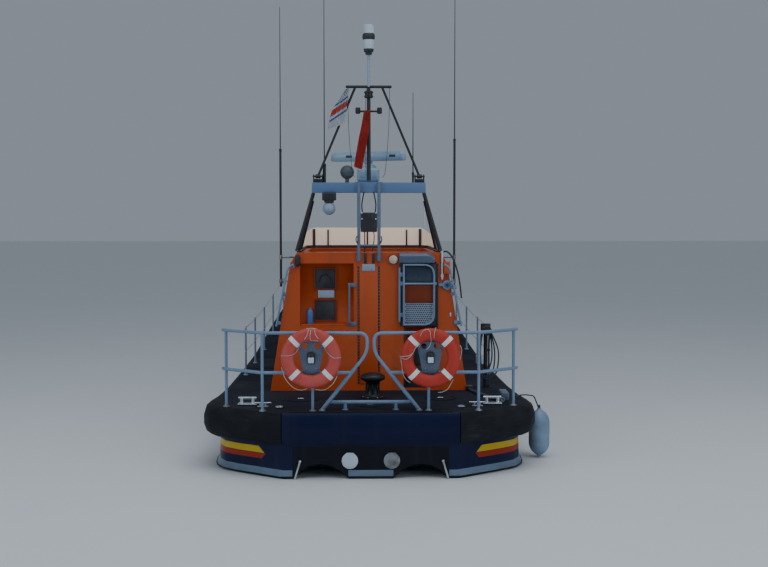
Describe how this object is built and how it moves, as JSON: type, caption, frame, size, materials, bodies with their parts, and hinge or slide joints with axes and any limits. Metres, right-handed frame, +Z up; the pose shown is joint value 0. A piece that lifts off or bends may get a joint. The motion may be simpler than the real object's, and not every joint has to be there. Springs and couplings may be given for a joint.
{
  "type": "twin-screw lifeboat",
  "caption": "Fast all-weather lifeboat afloat, with tunnelled propellers, rudders, a hollow wheelhouse, folding mast, radar, gate, door, hatch, rails and lifebuoys.",
  "frame": {"origin": "on the centreline amidships, at the waterline", "axes": "+X to starboard, +Y forward to the bow, +Z up"},
  "size_m": [4.7734, 14.255, 8.29],
  "materials": {
    "navy_paint": "dark blue gloss paint on moulded laminate",
    "deck_paint": "grey-blue non-slip deck paint",
    "rubber": "black weathered rubber",
    "white_paint": "white paint",
    "engine_iron": "painted iron",
    "bronze": "weathered bronze",
    "orange_paint": "orange gloss paint on moulded laminate",
    "window_glass": "tinted glass",
    "black_plastic": "black plastic",
    "seat_cover": "black seat cover",
    "grey_paint": "grey-blue painted metal",
    "maroon_plastic": "dark red-brown trim",
    "cream_screen": "milky windscreen sheet",
    "black_paint": "black paint",
    "white_plastic": "white plastic",
    "red_cloth": "red flag cloth",
    "white_cloth": "white, blue and red flag cloth",
    "orange_foam": "orange lifebuoy cover with white bands",
    "steel": "stainless steel"
  },
  "bodies": {
    "boat": {"hull": "navy_paint", "deck": "deck_paint", "transom_panel": "navy_paint", "belting_port": "rubber", "belting_starboard": "rubber", "exhaust_port": "white_paint", "exhaust_starboard": "white_paint", "engine_port": "engine_iron", "engine_starboard": "engine_iron", "shaft_bracket_port": "bronze", "shaft_bracket_starboard": "bronze", "deckhouse": "orange_paint", "front_glass": "window_glass", "side_glass_port": "window_glass", "side_glass_starboard": "window_glass", "cabin_console": "black_plastic", "seat_port": "seat_cover", "seat_starboard": "seat_cover", "screen_base": "maroon_plastic", "upper_screen": "cream_screen", "upper_console": "black_plastic", "arch_beam": "grey_paint", "arch_posts": "grey_paint", "arch_leg_port": "black_paint", "arch_leg_starboard": "black_paint", "radar_gearbox": "grey_paint", "arch_dome": "grey_paint", "low_bar": "grey_paint", "bow_rail": "grey_paint", "capstan": "black_paint", "hanging_fender": "white_plastic", "whip_port": "black_plastic", "whip_starboard": "black_plastic", "arch_whip_port": "black_plastic", "arch_whip_starboard": "white_plastic", "stern_rail_port": "grey_paint", "stern_rail_starboard": "grey_paint", "side_rail_port": "grey_paint", "side_rail_starboard": "grey_paint", "lifebuoy_port": "orange_foam", "lifebuoy_starboard": "orange_foam", "buoy_bracket_port": "grey_paint", "buoy_bracket_starboard": "grey_paint", "fairlead_port": "steel", "fairlead_starboard": "steel", "grab_rail_port": "grey_paint", "grab_rail_starboard": "grey_paint"},
    "port_screw": {"propeller_port": "bronze"},
    "starboard_screw": {"propeller_starboard": "bronze"},
    "port_rudder": {"rudder_port": "bronze"},
    "starboard_rudder": {"rudder_starboard": "bronze"},
    "folding_mast": {"mast": "black_paint", "masthead_antenna": "white_plastic", "ensign": "red_cloth", "signal_flag": "white_cloth"},
    "radar_scanner": {"radar_bar": "white_plastic"},
    "gate": {"aft_gate": "grey_paint"},
    "cabin_door": {"companion_door": "orange_paint"},
    "hatch_lid": {"forward_hatch": "grey_paint"}
  },
  "joints": [
    {"name": "port_screw_spin", "type": "hinge", "parent": "boat", "child": "port_screw", "pos_m": [-0.65, -5.53, -0.6675], "axis": [0, 0.9925, 0.1219], "continuous": true},
    {"name": "starboard_screw_spin", "type": "hinge", "parent": "boat", "child": "starboard_screw", "pos_m": [0.65, -5.53, -0.6675], "axis": [0, 0.9925, 0.1219], "continuous": true},
    {"name": "port_rudder_turn", "type": "hinge", "parent": "boat", "child": "port_rudder", "pos_m": [-0.65, -6.35, -0.6], "axis": [0, 0, 1], "range_deg": [-35, 35]},
    {"name": "starboard_rudder_turn", "type": "hinge", "parent": "boat", "child": "starboard_rudder", "pos_m": [0.65, -6.35, -0.6], "axis": [0, 0, 1], "range_deg": [-35, 35]},
    {"name": "mast_fold", "type": "hinge", "parent": "boat", "child": "folding_mast", "pos_m": [0, -4.98, 3.95], "axis": [1, 0, 0], "range_deg": [0, 90]},
    {"name": "radar_spin", "type": "hinge", "parent": "boat", "child": "radar_scanner", "pos_m": [0, -4.18, 4.2], "axis": [0, 0, 1], "continuous": true},
    {"name": "gate_swing", "type": "hinge", "parent": "boat", "child": "gate", "pos_m": [0.44, -5.126, 2.25], "axis": [0, 0, -1], "range_deg": [0, 110]},
    {"name": "cabin_door_swing", "type": "hinge", "parent": "boat", "child": "cabin_door", "pos_m": [-0.65, -3.03, 2.27], "axis": [0, 0, -1], "range_deg": [0, 100]},
    {"name": "hatch_lift", "type": "hinge", "parent": "boat", "child": "hatch_lid", "pos_m": [0, 1.85, 1.812], "axis": [-1, 0, 0], "range_deg": [0, 95]}
  ],
  "couplings": [
    {"joint": "starboard_rudder_turn", "follows": "port_rudder_turn", "ratio": 1}
  ]
}
